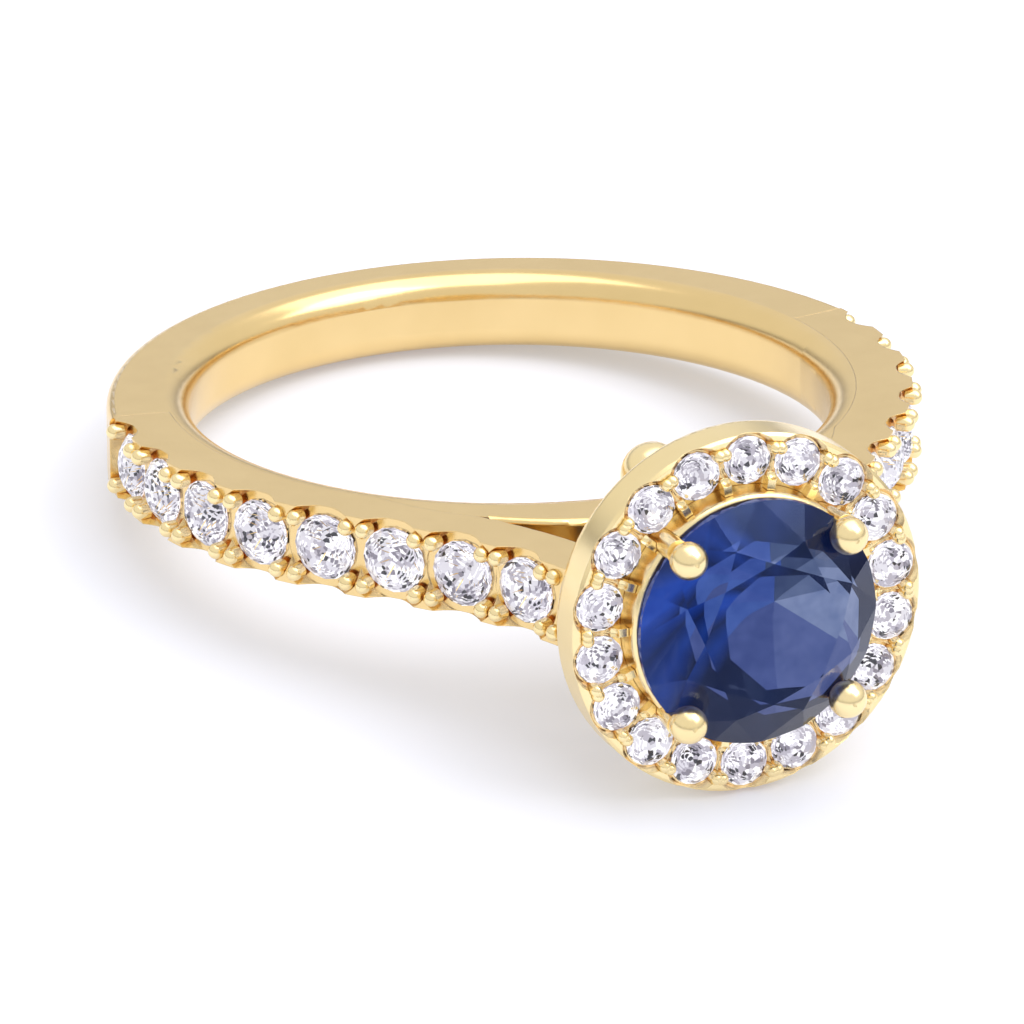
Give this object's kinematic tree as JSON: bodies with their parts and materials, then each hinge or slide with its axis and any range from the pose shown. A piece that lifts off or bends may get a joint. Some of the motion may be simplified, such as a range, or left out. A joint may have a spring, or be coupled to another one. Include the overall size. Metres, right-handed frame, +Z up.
{
  "type": "engagement ring",
  "caption": "Yellow-gold halo engagement ring on its side: round blue centre stone in ball claws, diamond halo, scalloped diamond cathedral shoulders.",
  "frame": {"origin": "centre of the finger bore", "axes": "-Y towards the centre stone, X across the ring, +Z up; the ring lies on its side, leaned so that the halo and the back of the band rest on one level floor, which tilts the finger axis from +Z by 8.73 degrees towards +Y"},
  "size_m": [0.0218, 0.0273, 0.0096],
  "materials": {
    "polished_gold": "mirror-polished yellow gold",
    "setting_gold": "bright-cut yellow gold",
    "sapphire": "faceted transparent blue stone",
    "diamond": "faceted clear stone"
  },
  "bodies": {
    "root": {"centre_sapphire": "sapphire", "halo_diamond_01": "diamond", "halo_diamond_02": "diamond", "halo_diamond_03": "diamond", "halo_diamond_04": "diamond", "halo_diamond_05": "diamond", "halo_diamond_06": "diamond", "halo_diamond_07": "diamond", "halo_diamond_08": "diamond", "halo_diamond_09": "diamond", "halo_diamond_10": "diamond", "halo_diamond_11": "diamond", "halo_diamond_12": "diamond", "halo_diamond_13": "diamond", "halo_diamond_14": "diamond", "halo_diamond_15": "diamond", "halo_diamond_16": "diamond", "halo_diamond_17": "diamond", "halo_diamond_18": "diamond", "centre_claw_ne": "setting_gold", "centre_claw_nw": "setting_gold", "centre_claw_sw": "setting_gold", "centre_claw_se": "setting_gold", "halo_gallery": "setting_gold", "halo_outer_claws": "setting_gold", "halo_inner_beads": "setting_gold", "centre_collar": "setting_gold", "gallery_floor": "setting_gold", "basket_rail": "setting_gold", "shank": "polished_gold", "side_boss_upper": "setting_gold", "side_boss_lower": "setting_gold", "basket_base": "setting_gold", "shoulder_left": "polished_gold", "shoulder_grains_left": "setting_gold", "shoulder_diamond_left_1": "diamond", "shoulder_diamond_left_2": "diamond", "shoulder_diamond_left_3": "diamond", "shoulder_diamond_left_4": "diamond", "shoulder_diamond_left_5": "diamond", "shoulder_diamond_left_6": "diamond", "shoulder_diamond_left_7": "diamond", "shoulder_diamond_left_8": "diamond", "shoulder_right": "polished_gold", "shoulder_grains_right": "setting_gold", "shoulder_diamond_right_1": "diamond", "shoulder_diamond_right_2": "diamond", "shoulder_diamond_right_3": "diamond", "shoulder_diamond_right_4": "diamond", "shoulder_diamond_right_5": "diamond", "shoulder_diamond_right_6": "diamond", "shoulder_diamond_right_7": "diamond", "shoulder_diamond_right_8": "diamond"}
  },
  "joints": []
}
